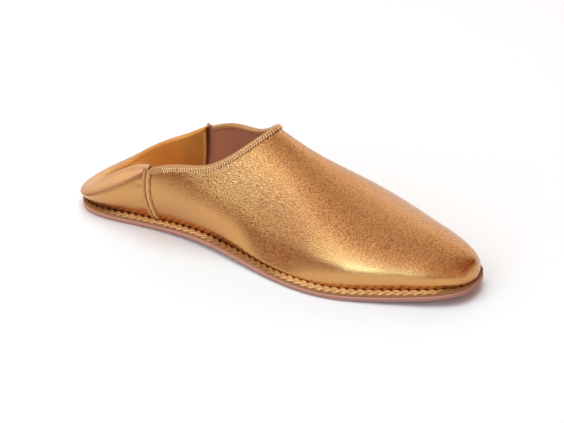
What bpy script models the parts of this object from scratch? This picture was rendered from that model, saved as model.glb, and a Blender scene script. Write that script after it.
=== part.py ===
# Babouche slipper: a gold leather slip-on with a pointed toe and its heel folded down inside.
# Metres, +Z up, toe along +X, the shoe's left along +Y. The origin is on the floor under the heel's centre.
import bpy
import bmesh
import numpy as np

# Driving sizes
LENGTH = 0.265          # sole, heel back to toe tip
BALL_WIDTH = 0.088      # sole at the ball of the foot
HEEL_BACK = 0.030       # heel back to the origin
TOE_SPRING = 0.0055     # underside of the toe tip above the floor
ARCH_RISE = 0.002       # underside of the waist above the floor
TOE_SWING = 0.006       # toe tip to the shoe's right of the heel's centre line
INSTEP_HEIGHT = 0.069   # peak of the throat above the sole's underside
SIDE_HEIGHT = 0.0445    # folded edge at the side seams
FOLD_DEPTH = 0.0090     # folded edge inside the sole's edge, about the heel
LEDGE = 0.0046          # sole edge to the foot of the upper, along the sides
SOLE_THICK = 0.003
SOLE_ROUND = 0.0006     # rounding of the sole's edges
WELT_HEIGHT = 0.002
WELT_SETBACK = 0.0003   # sole edge to the welt's edge
INSOLE_THICK = 0.0018
WALL = 0.0014           # leather of the upper
FOLD_RADIUS = 0.0024    # outside of the heel's fold
BINDING_THICK = 0.0007
BINDING_OUTSIDE = 0.0032
BINDING_INSIDE = 0.0020
BINDING_START = 0.0027  # seam's middle to the binding's end
BINDING_GAP = 0.0004    # clearance of the binding's channel
SEAM_WIDTH = 0.0042
SEAM_THICK = 0.0010
SEAM_CROWN = 0.8        # each roll's flat top, as a share of half the width
SEAM_GROOVE = 0.55      # height of the groove between the rolls, as a share of their height
SEAM_FOOT = 0.0014      # side seams' lower end above the welt
SEAM_BOW = 0.0010       # how far the side seams bow to the heel at mid height
GAP = 0.0003            # clearance between pieces

# Plan of the sole, heel back to toe tip: share of length, share of half the ball width
OUTLINE = (
    (0.000, 0.000), (0.012, 0.330), (0.049, 0.575), (0.121, 0.664), (0.227, 0.626), (0.333, 0.640),
    (0.436, 0.740), (0.549, 0.895), (0.652, 0.995), (0.727, 0.985), (0.814, 0.835), (0.898, 0.630),
    (0.962, 0.432), (0.992, 0.245), (1.000, 0.000),
)
SPRING_FROM = 0.70      # share of the length where the toe leaves the floor
ARCH_SPAN = (0.19, 0.64)
SWING_FROM = 0.19
SWING_POWER = 1.2

# Ledge around the sole: share of the way from heel back to toe tip, share of the ledge
LEDGE_ROWS = ((0.00, 0.48), (0.08, 0.66), (0.20, 1.00), (0.85, 1.00), (0.95, 0.80), (1.00, 0.42))

# Centre ridge of the vamp: way from side seam to toe tip, share of length, share of instep height.
# Rows before the throat lie above the opening and only shape the walls.
THROAT_AT = 0.354
RIDGE_ROWS = (
    (0.000, 0.340, 1.450), (0.200, 0.415, 1.210), (0.354, 0.520, 1.000), (0.500, 0.632, 0.802),
    (0.650, 0.745, 0.630), (0.800, 0.857, 0.462), (0.900, 0.932, 0.355), (0.955, 0.974, 0.275),
    (0.985, 0.997, 0.175),
)
# Cross sections of the vamp: way from seam to toe tip, outward lean at the foot,
# fullness of the wall, fullness of the crown
SECTION_ROWS = (
    (0.000, 0.26, 0.52, 0.76), (0.180, 0.19, 0.43, 0.58), (0.354, -0.10, 0.36, 0.42),
    (0.600, 0.03, 0.44, 0.53), (0.800, 0.22, 0.50, 0.54), (1.000, 0.06, 0.55, 0.58),
)
# Collar: nearness to the throat from 1 at the seam to 0, share of the cross section that is kept
COLLAR_ROWS = (
    (0.00, 1.000), (0.31, 0.730), (0.49, 0.560), (0.66, 0.424), (0.78, 0.372), (0.90, 0.320), (1.00, 0.256),
)

# Heel: way from heel back to seam, ridge height and crest height as shares of the side height,
# distance of ridge and crest inside the sole's edge as shares of the fold's depth
HEEL_ROWS = (
    (0.00, 0.165, 0.215, -0.11, 0.80), (0.25, 0.20, 0.295, -0.12, 0.80), (0.50, 0.36, 0.530, -0.16, 0.88),
    (0.75, 0.63, 0.790, -0.22, 0.88), (0.88, 0.79, 0.900, -0.32, 0.56), (1.00, 0.945, 1.000, -0.46, -0.20),
)
HEEL_LEAN = 0.10        # how far the heel's wall starts outward, as a share of its height
HEEL_START = 0.45       # how far it starts upward
HEEL_END = 0.35         # how far it arrives upward
FOLD_PULL = 0.55        # roundness of the strip from ridge to crest, as a share of its rise and reach
# Free end of the folded-in heel: way from heel back to seam, share of length, share of half the ball width
FLAP_ROWS = (
    (0.00, 0.160, 0.000), (0.25, 0.165, 0.180), (0.50, 0.182, 0.320), (0.75, 0.214, 0.410),
    (1.00, 0.252, 0.440),
)
FLAP_PULL = 0.5         # roundness of the flap, as a share of its drop and its reach

SEAM_SHARE = 0.275      # side seam's foot, as a share of the way from heel back to toe tip
OUTLINE_STEPS = 44
EDGE_CROWDING = 0.4     # how much closer together the steps are at heel and toe
COLLAR_COLUMNS = 15
VAMP_COLUMNS = 15
HEEL_COLUMNS = 14
WALL_ROWS = 13
SEAM_ROWS = 10
NUDGE = 1e-4            # small step for directions taken from two points


def smooth_rows(rows, at, column):
    """Smooth curve through one column of a table, as a natural cubic."""
    table = np.array(rows)
    x, y = table[:, 0], table[:, column]
    h = np.diff(x)
    n = len(x)
    system = np.eye(n)
    right = np.zeros(n)
    for i in range(1, n - 1):
        system[i, i - 1:i + 2] = h[i - 1], 2 * (h[i - 1] + h[i]), h[i]
        right[i] = 6 * ((y[i + 1] - y[i]) / h[i] - (y[i] - y[i - 1]) / h[i - 1])
    bend = np.linalg.solve(system, right)
    at = np.asarray(at, float)
    i = np.clip(np.searchsorted(x, at, "right") - 1, 0, n - 2)
    v = (at - x[i]) / h[i]
    u = 1 - v
    return u * y[i] + v * y[i + 1] + ((u**3 - u) * bend[i] + (v**3 - v) * bend[i + 1]) * h[i]**2 / 6


def bezier(p0, p1, p2, p3, at):
    """Cubic curve with four control points, for each value of at."""
    at = np.asarray(at, float)[..., None]
    return (1 - at)**3 * p0 + 3 * at * (1 - at)**2 * p1 + 3 * at**2 * (1 - at) * p2 + at**3 * p3


def half_rim(count=801):
    """Left half of the sole's edge from heel back to toe tip: share of its run, point, inward direction."""
    half = [(x * LENGTH, y * BALL_WIDTH / 2) for x, y in OUTLINE]
    p = np.array(half + [(x, -y) for x, y in half[-2:0:-1]])
    n = len(p)
    step = np.linalg.norm(np.roll(p, -1, 0) - p, axis=1)
    system = np.zeros((n, n))
    right = np.zeros((n, 2))
    for i in range(n):
        before, after = step[i - 1], step[i]
        system[i, i - 1] += before
        system[i, i] += 2 * (before + after)
        system[i, (i + 1) % n] += after
        right[i] = 6 * ((p[(i + 1) % n] - p[i]) / after - (p[i] - p[i - 1]) / before)
    bend = np.linalg.solve(system, right)
    knots = np.r_[0, np.cumsum(step)]
    s = np.linspace(0, knots[n // 2], count)
    i = np.clip(np.searchsorted(knots, s, "right") - 1, 0, n - 1)
    j = (i + 1) % n
    h = step[i][:, None]
    v = (s - knots[i])[:, None] / h
    u = 1 - v
    curve = u * p[i] + v * p[j] + ((u**3 - u) * bend[i] + (v**3 - v) * bend[j]) * h**2 / 6
    run = np.r_[0, np.cumsum(np.linalg.norm(np.diff(curve, axis=0), axis=1))]
    even = np.linspace(0, run[-1], count)
    curve = np.stack([np.interp(even, run, curve[:, 0]), np.interp(even, run, curve[:, 1])], 1)
    along = np.gradient(curve, axis=0)
    along /= np.linalg.norm(along, axis=1)[:, None]
    along[0], along[-1] = (0, 1), (0, -1)
    return np.column_stack([even / run[-1], curve, along[:, 1], -along[:, 0]])


RIM = half_rim()


def rim(share, inset):
    """Points inside the sole's edge by inset, and the inward direction there, at height zero."""
    x, y, nx, ny = (np.interp(share, RIM[:, 0], RIM[:, k]) for k in range(1, 5))
    flat = np.zeros_like(x)
    inward = np.stack([nx, ny, flat], -1)
    return np.stack([x, y, flat], -1) + inward * np.asarray(inset)[..., None], inward


def ledge(share):
    rows = np.array(LEDGE_ROWS)
    return LEDGE * np.interp(share, rows[:, 0], rows[:, 1])


FOOT_BASE = SOLE_THICK + GAP
FOOT_TOP = FOOT_BASE + WELT_HEIGHT + GAP
FLAP_BASE = FOOT_BASE + INSOLE_THICK + 2 * GAP + WALL
UP = np.array([0.0, 0.0, 1.0])
SIDEWAYS = np.array([0.0, 1.0, 0.0])


def foot(share):
    """Foot of the upper's outside, level with the welt's top."""
    points, inward = rim(share, ledge(share))
    return points + UP * FOOT_TOP, inward


def vamp(way, rib):
    """Outside of the vamp: way runs from side seam to toe tip, rib from foot to centre ridge."""
    start, inward = foot(SEAM_SHARE + (1 - SEAM_SHARE) * way)
    tip = foot(np.array([1.0]))[0][0]
    ridge_rows = RIDGE_ROWS + ((1.0, tip[0] / LENGTH, tip[2] / INSTEP_HEIGHT),)
    crest_x = smooth_rows(ridge_rows, way, 1) * LENGTH
    crest_z = smooth_rows(ridge_rows, way, 2) * INSTEP_HEIGHT
    end = np.stack([crest_x, np.zeros_like(crest_x), crest_z], -1)
    lean, wall, crown = (smooth_rows(SECTION_ROWS, way, k)[..., None] for k in (1, 2, 3))
    height = (crest_z - start[..., 2])[..., None]
    leave = start - inward * lean * height + UP * wall * height
    arrive = end + SIDEWAYS * crown * start[..., 1:2]
    return bezier(start, leave, arrive, end, rib)


def collar_share(way):
    """How much of each cross section is kept: all of it past the throat."""
    near = np.sqrt(np.clip(1 - way / THROAT_AT, 0, 1))
    return np.where(way < THROAT_AT, smooth_rows(COLLAR_ROWS, near, 1), 1.0)


def heel_points(way):
    """Ridge, crest and inward direction of the folded heel, before they are joined to the vamp."""
    ridge_z, crest_z, ridge_in, crest_in = (smooth_rows(HEEL_ROWS, way, k)[..., None] for k in (1, 2, 3, 4))
    edge, inward = rim(SEAM_SHARE * way, np.zeros_like(way))
    ridge = edge + inward * ridge_in * FOLD_DEPTH + UP * ridge_z * SIDE_HEIGHT
    crest = edge + inward * crest_in * FOLD_DEPTH + UP * crest_z * SIDE_HEIGHT
    return ridge, crest, inward


def heel_wall_plain(way, rib):
    """Outside of the heel from foot to ridge, before it is joined to the vamp."""
    start, inward = foot(SEAM_SHARE * way)
    ridge, _, _ = heel_points(way)
    height = (ridge[..., 2] - start[..., 2])[..., None]
    leave = start + (UP * HEEL_START - inward * HEEL_LEAN) * height
    arrive = ridge - UP * HEEL_END * height
    return bezier(start, leave, arrive, ridge, rib)


def blend(way):
    """Grows smoothly from 0 at the heel back to 1 at the side seam."""
    return (way**2 * (3 - 2 * way))[..., None]


def heel_wall(way, rib):
    """Outside of the heel from foot to ridge, which meets the vamp along the side seam."""
    seam = np.ones_like(way)
    kept = collar_share(np.zeros_like(way))
    miss = vamp(np.zeros_like(way), rib * kept) - heel_wall_plain(seam, rib)
    return heel_wall_plain(way, rib) + blend(way) * miss


def heel_fold(way, strip, fold, flap):
    """Rows of the heel past its ridge: up to the crest, round the fold, down the flap to its free end."""
    top = heel_wall(way, np.ones_like(way))
    _, crest, inward = heel_points(way)
    end = np.ones_like(way)
    _, seam_crest, seam_inward = heel_points(end)
    seam_top = heel_wall(end, end)
    crest = crest + blend(way) * (seam_top + (seam_inward + UP) * FOLD_RADIUS - seam_crest)
    rise = crest[..., 2:] - top[..., 2:]
    reach = np.linalg.norm((crest - top)[..., :2], axis=-1)[..., None]
    leave = top + UP * FOLD_PULL * rise
    arrive = crest - inward * FOLD_PULL * reach
    rows = [bezier(top, leave, arrive, crest, np.full_like(way, k)) for k in strip]
    rows += [crest + FOLD_RADIUS * (inward * np.sin(k) + UP * (np.cos(k) - 1)) for k in fold]
    turned = crest + FOLD_RADIUS * (inward - UP)
    rest_x = smooth_rows(FLAP_ROWS, way, 1) * LENGTH
    rest_y = smooth_rows(FLAP_ROWS, way, 2) * BALL_WIDTH / 2
    rest = np.stack([rest_x, rest_y, np.full_like(way, FLAP_BASE)], -1)
    falling = turned - UP * FLAP_PULL * (turned - rest)[..., 2:]
    lying = rest + (1 - UP) * FLAP_PULL * (turned - rest)
    rows += [bezier(turned, falling, lying, rest, np.full_like(way, k)) for k in flap]
    return np.stack(rows, -2)


def underside(x):
    """Height of the sole's underside above the floor: arch and toe spring."""
    along = x / LENGTH
    spring = np.clip((along - SPRING_FROM) / (1 - SPRING_FROM), 0, None)
    arch = np.clip((along - ARCH_SPAN[0]) / (ARCH_SPAN[1] - ARCH_SPAN[0]), 0, 1)
    return TOE_SPRING * spring**2 + ARCH_RISE * np.sin(np.pi * arch)**2


def placed(points, side):
    """Left-half points put on a side (1 left, -1 right), swung at the toe and lifted with the sole."""
    x = points[..., 0]
    swing = -TOE_SWING * np.clip((x / LENGTH - SWING_FROM) / (1 - SWING_FROM), 0, None)**SWING_POWER
    return np.stack([x - HEEL_BACK, side * points[..., 1] + swing, points[..., 2] + underside(x)], -1)


def grid_faces(columns, rows, first=0, closed=False):
    """Quads of a grid whose points are stored column by column."""
    c = np.arange(columns - 1)[:, None]
    r = np.arange(rows if closed else rows - 1)[None]
    up = (r + 1) % rows
    quads = np.stack([c * rows + r, (c + 1) * rows + r, (c + 1) * rows + up, c * rows + up], -1)
    return quads.reshape(-1, 4) + first


def make_object(name, points, faces, colour, roughness, metallic=0.0):
    """Mesh object with merged points, outward faces, smooth shading and its own material."""
    mesh = bpy.data.meshes.new(name)
    mesh.from_pydata([tuple(p) for p in points], [], [tuple(int(i) for i in f) for f in faces])
    work = bmesh.new()
    work.from_mesh(mesh)
    bmesh.ops.remove_doubles(work, verts=work.verts, dist=1e-6)
    bmesh.ops.dissolve_degenerate(work, edges=work.edges, dist=1e-7)
    bmesh.ops.recalc_face_normals(work, faces=work.faces)
    work.to_mesh(mesh)
    work.free()
    mesh.shade_smooth()
    mesh.set_sharp_from_angle(angle=np.radians(35))
    material = bpy.data.materials.new(name)
    material.use_nodes = True
    shader = material.node_tree.nodes["Principled BSDF"]
    shader.inputs["Base Color"].default_value = (*colour, 1)
    shader.inputs["Roughness"].default_value = roughness
    shader.inputs["Metallic"].default_value = metallic
    mesh.materials.append(material)
    made = bpy.data.objects.new(name, mesh)
    PARTS.objects.link(made)
    return made


def edge_shares(count):
    """Shares of the way along half the sole's edge, closer together at heel and toe."""
    even = np.linspace(0, 1, count + 1)
    return even - EDGE_CROWDING * np.sin(2 * np.pi * even) / (2 * np.pi)


def ring(inset, height, ledges=0.0):
    """Closed loop inside the sole's edge by inset and a number of ledges, from the toe by the right side."""
    share = edge_shares(OUTLINE_STEPS)
    points, _ = rim(share, inset + ledges * ledge(share))
    points = points + UP * height
    return np.concatenate([placed(points[::-1], -1), placed(points[1:-1], 1)])


def strip_cap(first):
    """Faces across a closed loop, joining its right side to its left side."""
    n = OUTLINE_STEPS
    right = first + np.arange(n, -1, -1)
    left = first + np.r_[np.arange(n, 2 * n), 0]
    corners = zip(right[:-1], right[1:], left[1:], left[:-1])
    return [list(dict.fromkeys(face)) for face in corners]


def slab(name, rings, *look):
    """Solid through closed loops, from the bottom one to the top one, closed across both ends."""
    loops = [ring(*r) for r in rings]
    rows = len(loops[0])
    faces = grid_faces(len(loops), rows, closed=True).tolist()
    faces += strip_cap(0) + strip_cap((len(loops) - 1) * rows)
    return make_object(name, np.concatenate(loops), faces, *look)


def swept(name, path, outward, down, section, *look):
    """Solid whose section, as distances outward and down, follows a path."""
    points = np.stack([path + outward * a + down * b for a, b in section], 1)
    rows = len(section)
    faces = grid_faces(len(path), rows, closed=True).tolist()
    faces += [list(range(rows)), [len(path) * rows - 1 - k for k in range(rows)]]
    return make_object(name, points.reshape(-1, 3), faces, *look)


def unit(vectors):
    return vectors / np.linalg.norm(vectors, axis=-1)[..., None]


def binding_start():
    """Way along the vamp at which the binding begins."""
    ways = np.linspace(0, THROAT_AT / 2, 200)
    edge = vamp(ways, collar_share(ways))
    run = np.r_[0, np.cumsum(np.linalg.norm(np.diff(edge, axis=0), axis=1))]
    return np.interp(BINDING_START, run, ways)


def vamp_columns():
    """Ways of the vamp's columns: from side seam to throat, then to the toe tip."""
    collar = THROAT_AT * (1 - (1 - np.linspace(0, 1, COLLAR_COLUMNS + 1))**2)
    front = THROAT_AT + (1 - THROAT_AT) * (1 - (1 - np.linspace(0, 1, VAMP_COLUMNS + 1))**1.35)
    return np.r_[0, binding_start(), collar[1:], front[1:]]


def make_upper():
    """One hollow wall of leather: vamp, heel sides, and the heel folded over and down inside."""
    ways = vamp_columns()
    heel = np.linspace(0, 1, HEEL_COLUMNS + 1)
    ribs = 1 - (1 - np.linspace(0, 1, WALL_ROWS + 1))**1.25
    strip = np.linspace(0, 1, 4)[1:]
    fold = np.linspace(0, np.pi / 2, 4)[1:]
    flap = np.linspace(0, 1, 7)[1:]
    way, rib = np.meshgrid(heel, ribs, indexing="ij")
    back = heel_wall(way, rib)
    way, rib = np.meshgrid(ways[1:], ribs, indexing="ij")
    front = vamp(way, rib * collar_share(way))
    wall = np.concatenate([back, front])
    base = wall[:, :1].copy()
    base[..., 2] = FOOT_BASE
    wall = np.concatenate([base, wall], 1)
    folded = np.concatenate([back[:, -1:], heel_fold(heel, strip, fold, flap)], 1)
    points, faces = [], []
    count = 0
    for side in (-1, 1):
        for sheet in (wall, folded):
            quads = grid_faces(*sheet.shape[:2], first=count)
            faces.append(quads if side == 1 else quads[:, ::-1])
            points.append(placed(sheet, side).reshape(-1, 3))
            count += sheet.shape[0] * sheet.shape[1]
    points, faces = np.concatenate(points), np.concatenate(faces)
    upper = make_object("upper", points, faces, (0.60, 0.31, 0.09), 0.38, 0.75)
    solidify = upper.modifiers.new("leather", "SOLIDIFY")
    solidify.thickness = WALL
    solidify.offset = -1
    solidify.use_even_offset = True


def collar_frame():
    """Collar's edge from right seam over the throat to left seam, with outward and down directions."""
    ways = vamp_columns()
    ways = ways[(ways > 0) & (ways <= THROAT_AT)]
    kept = collar_share(ways)
    edge = vamp(ways, kept)
    across = edge - vamp(ways, kept - NUDGE)
    along = vamp(ways + NUDGE, kept) - edge
    outward = unit(np.cross(across, along))
    path = np.concatenate([placed(edge, -1), placed(edge[::-1][1:], 1)])
    outward = np.concatenate([outward * (1 - 2 * SIDEWAYS), outward[::-1][1:]])
    run = unit(np.gradient(path, axis=0))
    outward = unit(outward - run * np.sum(outward * run, -1)[:, None])
    return path, outward, np.cross(run, outward)


def make_binding():
    """Channel of leather over the collar's edge."""
    near, far = BINDING_GAP, BINDING_GAP + BINDING_THICK
    inner, inmost = -WALL - near, -WALL - far
    section = (
        (near, BINDING_OUTSIDE), (far, BINDING_OUTSIDE), (far, -near), (near, -far), (inner, -far),
        (inmost, -near), (inmost, BINDING_INSIDE), (inner, BINDING_INSIDE), (inner, -near), (near, -near),
    )
    return swept("collar_binding", *collar_frame(), section, (0.62, 0.36, 0.14), 0.5, 0.3)


def make_seam(name, side):
    """Raised side seam of two rolls, from the welt to the collar."""
    rib = np.linspace(SEAM_FOOT / SIDE_HEIGHT, 1, SEAM_ROWS)
    heel_run = SEAM_SHARE * np.sum(np.linalg.norm(np.diff(RIM[:, 1:3], axis=0), axis=1))
    way = 1 - SEAM_BOW / heel_run * np.sin(np.pi * rib)
    path = placed(heel_wall(way, rib), side)
    across = path - placed(heel_wall(way - NUDGE, rib), side)
    run = unit(np.gradient(path, axis=0))
    outward = unit(np.cross(run, across)) * side
    across = np.cross(outward, run)
    half = SEAM_WIDTH / 2
    crown, valley = half * SEAM_CROWN, half * (1 - SEAM_CROWN)
    top = GAP + SEAM_THICK
    groove = GAP + SEAM_THICK * SEAM_GROOVE
    section = (
        (GAP, -half), (GAP, half), (top, crown), (top, valley), (groove, 0), (top, -valley), (top, -crown),
    )
    return swept(name, path, outward, across, section, (0.66, 0.38, 0.14), 0.45, 0.5)


def make_sole_parts():
    """Outsole, insole and welt, all from the sole's edge."""
    round_top = SOLE_THICK - SOLE_ROUND
    sole_rings = ((SOLE_ROUND, 0), (0, SOLE_ROUND), (0, round_top), (SOLE_ROUND, SOLE_THICK))
    slab("outsole", sole_rings, (0.50, 0.25, 0.17), 0.6)
    inset = WALL + 2 * GAP
    insole_rings = ((inset, FOOT_BASE, 1), (inset, FOOT_BASE + INSOLE_THICK, 1))
    slab("insole", insole_rings, (0.42, 0.22, 0.13), 0.65)
    welt_top = FOOT_BASE + WELT_HEIGHT
    outer, inner = WELT_SETBACK, -GAP
    corners = ((outer, FOOT_BASE), (outer, welt_top), (inner, welt_top, 1), (inner, FOOT_BASE, 1))
    points = np.stack([ring(*corner) for corner in corners], 1)
    points = np.concatenate([points, points[:1]])
    faces = grid_faces(*points.shape[:2], closed=True)
    make_object("welt", points.reshape(-1, 3), faces, (0.55, 0.30, 0.11), 0.55, 0.3)


for old in list(bpy.data.objects):
    bpy.data.objects.remove(old)
PARTS = bpy.data.collections.new("babouche_slipper")
bpy.context.scene.collection.children.link(PARTS)
make_sole_parts()
make_upper()
make_binding()
make_seam("side_seam_right", -1)
make_seam("side_seam_left", 1)
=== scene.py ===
# Gold leather babouche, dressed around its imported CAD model.
import bpy
import bmesh
import numpy as np
from mathutils import Matrix, Vector


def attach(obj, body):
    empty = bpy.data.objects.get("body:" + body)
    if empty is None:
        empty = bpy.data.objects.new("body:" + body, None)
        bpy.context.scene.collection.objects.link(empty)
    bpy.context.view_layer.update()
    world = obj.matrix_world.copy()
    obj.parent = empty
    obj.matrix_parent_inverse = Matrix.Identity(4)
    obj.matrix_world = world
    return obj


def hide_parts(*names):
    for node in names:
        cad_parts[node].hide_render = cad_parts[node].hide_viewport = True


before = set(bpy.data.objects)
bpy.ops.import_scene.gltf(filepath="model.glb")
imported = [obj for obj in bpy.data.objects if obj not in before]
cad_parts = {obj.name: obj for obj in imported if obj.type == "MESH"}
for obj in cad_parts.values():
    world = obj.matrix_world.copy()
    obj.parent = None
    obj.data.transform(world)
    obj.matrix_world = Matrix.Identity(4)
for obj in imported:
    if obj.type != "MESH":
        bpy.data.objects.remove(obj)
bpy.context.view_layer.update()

print("frame loaded:", ", ".join(sorted(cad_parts)))

# The shoe's form, in metres, as in the CAD source: x from the heel's back to the toe, z up.
shoe = dict(
    length=0.265, ballWidth=0.088, heelBack=0.030, toeSpring=0.0055, archRise=0.002, toeSwing=0.006,
    instepHeight=0.069, sideHeight=0.0445, foldDepth=0.0090, ledge=0.0046, soleThick=0.003,
    weltHeight=0.002, weltSetback=0.0003, insoleThick=0.0018, wall=0.0014, foldRadius=0.0024,
    gap=0.0003, springFrom=0.70, archFrom=0.19, archTo=0.64, swingFrom=0.19, swingPower=1.2,
    throatAt=0.354, seamShare=0.275, heelLean=0.10, heelStart=0.45, heelEnd=0.35, foldPull=0.55,
    flapPull=0.5,
)
# left half of the sole's edge: x by the length, y by half the ball's width
outlineRows = np.array([
    (0.000, 0.000), (0.012, 0.330), (0.049, 0.575), (0.121, 0.664), (0.227, 0.626), (0.333, 0.640),
    (0.436, 0.740), (0.549, 0.895), (0.652, 0.995), (0.727, 0.985), (0.814, 0.835), (0.898, 0.630),
    (0.962, 0.432), (0.992, 0.245), (1.000, 0.000),
])
# share of the edge's run, width of the ledge there
ledgeRows = np.array([
    (0.00, 0.44), (0.08, 0.62), (0.20, 1.00), (0.85, 1.00), (0.93, 0.72), (0.97, 0.36), (1.00, 0.14),
])
# way along the vamp, x and z of the centre ridge
ridgeRows = [
    (0.000, 0.340, 1.450), (0.200, 0.415, 1.210), (0.354, 0.520, 1.000), (0.500, 0.632, 0.802),
    (0.650, 0.745, 0.630), (0.800, 0.857, 0.462), (0.900, 0.932, 0.355), (0.955, 0.974, 0.275),
    (0.985, 0.997, 0.175),
]
# way along the vamp, lean at the foot, pull up from it, pull out from the ridge
sectionRows = [
    (0.000, 0.26, 0.52, 0.76), (0.180, 0.19, 0.43, 0.58), (0.354, -0.10, 0.36, 0.42),
    (0.600, 0.03, 0.44, 0.53), (0.800, 0.22, 0.50, 0.54), (1.000, 0.06, 0.55, 0.58),
]
# root of the way left to the throat, part of the rib below the collar
collarRows = [
    (0.00, 1.000), (0.31, 0.730), (0.49, 0.560), (0.66, 0.424), (0.78, 0.372), (0.90, 0.320), (1.00, 0.256),
]
# way along the heel, heights of ridge and crest, how far in they lie
heelRows = [
    (0.00, 0.165, 0.215, -0.11, 0.80), (0.25, 0.20, 0.295, -0.12, 0.80), (0.50, 0.36, 0.530, -0.16, 0.88),
    (0.75, 0.63, 0.790, -0.22, 0.88), (0.88, 0.79, 0.900, -0.32, 0.56), (1.00, 0.945, 1.000, -0.46, -0.20),
]
# way along the heel, x and y of the flap's free end
flapRows = [
    (0.00, 0.160, 0.000), (0.25, 0.165, 0.180), (0.50, 0.182, 0.320), (0.75, 0.214, 0.410),
    (1.00, 0.252, 0.440),
]
footBase = shoe["soleThick"] + shoe["gap"]
footTop = footBase + shoe["weltHeight"] + shoe["gap"]
flapBase = footBase + shoe["insoleThick"] + 2 * shoe["gap"] + shoe["wall"]
up = np.array([0.0, 0.0, 1.0])
sideways = np.array([0.0, 1.0, 0.0])


# cubic span: linear between its ends, plus each end's bend times (u^3 - u) h^2 / 6
def span(v, h, a, b, bendA, bendB):
    u = 1 - v
    return u * a + v * b + ((u**3 - u) * bendA + (v**3 - v) * bendB) * h**2 / 6


# natural cubic through one column of a table
def smoothRows(rows, at, column):
    table = np.array(rows)
    x, y = table[:, 0], table[:, column]
    h = np.diff(x)
    n = len(x)
    system, right = np.eye(n), np.zeros(n)
    for i in range(1, n - 1):
        system[i, i - 1:i + 2] = h[i - 1], 2 * (h[i - 1] + h[i]), h[i]
        right[i] = 6 * ((y[i + 1] - y[i]) / h[i] - (y[i] - y[i - 1]) / h[i - 1])
    bend = np.linalg.solve(system, right)
    i = np.clip(np.searchsorted(x, at, "right") - 1, 0, n - 2)
    return span((at - x[i]) / h[i], h[i], y[i], y[i + 1], bend[i], bend[i + 1])


# cubic curve: the four points weighted by (1-t)^3, 3t(1-t)^2, 3t^2(1-t) and t^3
def bezier(p0, p1, p2, p3, t):
    t = np.asarray(t, float)[..., None]
    return (1 - t)**3 * p0 + 3 * t * (1 - t)**2 * p1 + 3 * t**2 * (1 - t) * p2 + t**3 * p3


def unit(vectors):   # each vector divided by its length
    return vectors / np.maximum(np.linalg.norm(vectors, axis=-1), 1e-12)[..., None]


def runOf(path):   # distance along a path from its start
    return np.r_[0, np.cumsum(np.linalg.norm(np.diff(path, axis=0), axis=1))]


def readAlong(at, run, rows):   # every column of the rows, linear between their places on the run
    return np.stack([np.interp(at, run, column) for column in rows.T], -1)


def climb(value, start, over):   # from 0 at the start to 1 that much further, held on both sides
    return np.clip((value - start) / over, 0, 1)


def mound(value, wide):   # exp(-(value / wide)^2)
    return np.exp(-(value / wide)**2)


def settle(value, soft):   # 1 / (1 + exp(-value / soft))
    return 1 / (1 + np.exp(-value / soft))


def steps(count):   # even steps from 0 to 1
    return np.linspace(0, 1, count + 1)


def crowded(count, power):   # steps from 0 to 1 that crowd at the end: 1 - (1 - t)^power
    return 1 - (1 - steps(count))**power


# left half of the sole's edge: closed periodic cubic through the outline, at even steps of its run,
# as rows of share of the run, x, y, inward x, inward y
def makeHalfRim(count=4001):
    half = [(x * shoe["length"], y * shoe["ballWidth"] / 2) for x, y in outlineRows]
    p = np.array(half + [(x, -y) for x, y in half[-2:0:-1]])
    n = len(p)
    step = np.linalg.norm(np.roll(p, -1, 0) - p, axis=1)
    system, right = np.zeros((n, n)), np.zeros((n, 2))
    for i in range(n):
        before, after = step[i - 1], step[i]
        system[i, i - 1] += before
        system[i, i] += 2 * (before + after)
        system[i, (i + 1) % n] += after
        right[i] = 6 * ((p[(i + 1) % n] - p[i]) / after - (p[i] - p[i - 1]) / before)
    bend = np.linalg.solve(system, right)
    knots = np.r_[0, np.cumsum(step)]
    s = np.linspace(0, knots[n // 2], count)
    i = np.clip(np.searchsorted(knots, s, "right") - 1, 0, n - 1)
    j = (i + 1) % n
    h = step[i][:, None]
    curve = span((s - knots[i])[:, None] / h, h, p[i], p[j], bend[i], bend[j])
    run = runOf(curve)
    even = np.linspace(0, run[-1], count)
    curve = readAlong(even, run, curve)
    along = unit(np.gradient(curve, axis=0))
    along[0], along[-1] = (0, 1), (0, -1)
    return np.column_stack([even / run[-1], curve, along[:, 1], -along[:, 0]]), run[-1]


halfRim, halfRun = makeHalfRim()


def rim(share, inset):   # point on the sole's edge moved inward by inset, and the inward direction
    x, y, nx, ny = (np.interp(share, halfRim[:, 0], halfRim[:, k]) for k in range(1, 5))
    flat = np.zeros_like(x)
    inward = np.stack([nx, ny, flat], -1)
    return np.stack([x, y, flat], -1) + inward * np.asarray(inset)[..., None], inward


def ledge(share):   # width of the ledge around the upper, linear between its rows
    return shoe["ledge"] * np.interp(share, ledgeRows[:, 0], ledgeRows[:, 1])


def foot(share):   # foot of the upper's outside: the edge moved in by the ledge, at the welt's top
    points, inward = rim(share, ledge(share))
    return points + up * footTop, inward


# front of the upper: a cubic rib from the foot, up and outward, over to the centre ridge
def vamp(way, rib):
    start, inward = foot(shoe["seamShare"] + (1 - shoe["seamShare"]) * way)
    tip = foot(np.array([1.0]))[0][0]
    rows = ridgeRows + [(1.0, tip[0] / shoe["length"], tip[2] / shoe["instepHeight"])]
    crestX = smoothRows(rows, way, 1) * shoe["length"]
    crestZ = smoothRows(rows, way, 2) * shoe["instepHeight"]
    end = np.stack([crestX, np.zeros_like(crestX), crestZ], -1)
    lean, wall, crown = (smoothRows(sectionRows, way, k)[..., None] for k in (1, 2, 3))
    height = (crestZ - start[..., 2])[..., None]
    leave = start - inward * lean * height + up * wall * height
    arrive = end + sideways * crown * start[..., 1:2]
    return bezier(start, leave, arrive, end, rib)


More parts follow.
